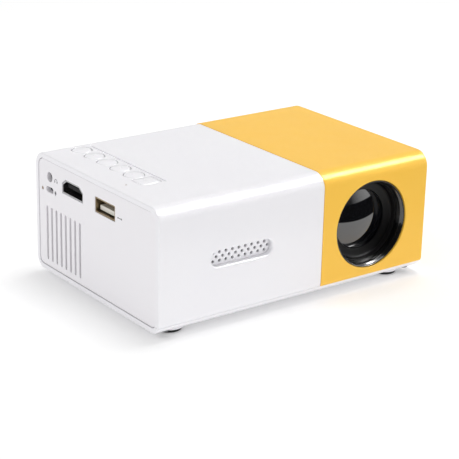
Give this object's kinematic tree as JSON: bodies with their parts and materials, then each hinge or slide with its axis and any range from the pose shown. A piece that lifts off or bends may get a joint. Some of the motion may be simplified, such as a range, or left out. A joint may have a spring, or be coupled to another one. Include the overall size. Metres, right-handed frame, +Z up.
{
  "type": "home projector",
  "caption": "Palm-sized home projector with a two-tone rounded case, recessed round lens, touchable top keys, end ports, vents, speaker grille, cooling fan and focusing lens.",
  "frame": {"origin": "under the middle of the overall box, at the level of the feet's undersides", "axes": "+X along the case towards the lens end, -Y out of the front where the lens looks, +Z up"},
  "size_m": [0.1274, 0.086, 0.0503],
  "materials": {
    "white_plastic": "satin moulded white",
    "yellow_plastic": "satin moulded warm yellow",
    "black_gloss": "polished black",
    "black_plastic": "matt black",
    "rubber": "matt",
    "optical_glass": "polished, coated",
    "clear_plastic": "clear moulded",
    "board": "green solder mask",
    "plated_steel": "plated",
    "aluminium": "extruded",
    "brass": "turned",
    "ivory_plastic": "moulded",
    "mirror": "front silvered",
    "amber_film": "film",
    "paper": "pressed paper cone"
  },
  "bodies": {
    "case": {"white_cover": "white_plastic", "bottom_tray": "white_plastic", "port_end_plate": "white_plastic", "speaker_grille": "white_plastic", "yellow_cover": "yellow_plastic", "lens_end_plate": "yellow_plastic", "foot_front_left": "rubber", "foot_front_right": "rubber", "foot_back_right": "rubber", "foot_back_left": "rubber", "fan_cable": "rubber", "speaker_cable": "rubber", "case_screw_front_left": "plated_steel", "case_screw_front_right": "plated_steel", "case_screw_back_right": "plated_steel", "case_screw_back_left": "plated_steel", "video_socket_shell": "plated_steel", "data_socket_shell": "plated_steel", "power_socket": "plated_steel", "focus_axle": "plated_steel", "tripod_insert": "brass", "switch_menu": "black_plastic", "switch_left": "black_plastic", "switch_ok": "black_plastic", "switch_right": "black_plastic", "switch_back": "black_plastic", "switch_power": "black_plastic", "video_socket_tongue": "black_plastic", "jack_block": "black_plastic", "speaker_frame": "black_plastic", "fan_frame": "black_plastic", "light_box": "black_plastic", "light_box_lid": "black_plastic", "key_light": "clear_plastic", "status_light": "clear_plastic", "rear_fresnel": "clear_plastic", "front_fresnel": "clear_plastic", "main_board": "board", "data_socket_tongue": "ivory_plastic", "speaker_cone": "paper", "heat_sink": "aluminium", "lamp_board": "aluminium", "lamp_emitter": "amber_film", "display_cable": "amber_film", "condenser_lens": "optical_glass", "lcd_panel": "optical_glass", "fold_mirror": "mirror", "lens_housing": "black_gloss"},
    "key_menu": {"key_menu": "white_plastic"},
    "key_left": {"key_left": "white_plastic"},
    "key_ok": {"key_ok": "white_plastic"},
    "key_right": {"key_right": "white_plastic"},
    "key_back": {"key_back": "white_plastic"},
    "key_power": {"key_power": "white_plastic"},
    "lens": {"lens_barrel": "black_gloss", "front_lens": "optical_glass", "lens_ring": "black_gloss", "rear_lens": "optical_glass"},
    "focus_wheel": {"focus_wheel": "black_plastic"},
    "fan_impeller": {"fan_impeller": "black_plastic"}
  },
  "joints": [
    {"name": "press_menu", "type": "slide", "parent": "case", "child": "key_menu", "axis": [0, 0, 1], "range_m": [-0.0005, 0], "stiffness_N_per_m": 1500},
    {"name": "press_left", "type": "slide", "parent": "case", "child": "key_left", "axis": [0, 0, 1], "range_m": [-0.0005, 0], "stiffness_N_per_m": 1500},
    {"name": "press_ok", "type": "slide", "parent": "case", "child": "key_ok", "axis": [0, 0, 1], "range_m": [-0.0005, 0], "stiffness_N_per_m": 1500},
    {"name": "press_right", "type": "slide", "parent": "case", "child": "key_right", "axis": [0, 0, 1], "range_m": [-0.0005, 0], "stiffness_N_per_m": 1500},
    {"name": "press_back", "type": "slide", "parent": "case", "child": "key_back", "axis": [0, 0, 1], "range_m": [-0.0005, 0], "stiffness_N_per_m": 1500},
    {"name": "press_power", "type": "slide", "parent": "case", "child": "key_power", "axis": [0, 0, 1], "range_m": [-0.0005, 0], "stiffness_N_per_m": 1500},
    {"name": "lens_focus", "type": "slide", "parent": "case", "child": "lens", "axis": [0, -1, 0], "range_m": [-0.003, 0.003]},
    {"name": "focus_wheel_turn", "type": "hinge", "parent": "case", "child": "focus_wheel", "pos_m": [0.05745, -0.022, 0.0259], "axis": [0, 0, 1], "range_deg": [-30.8, 30.8]},
    {"name": "fan_spin", "type": "hinge", "parent": "case", "child": "fan_impeller", "pos_m": [-0.0577, 0.0228, 0.01825], "axis": [1, 0, 0], "continuous": true}
  ],
  "couplings": [
    {"joint": "focus_wheel_turn", "follows": "lens_focus", "rad_per_m": 178.57}
  ]
}
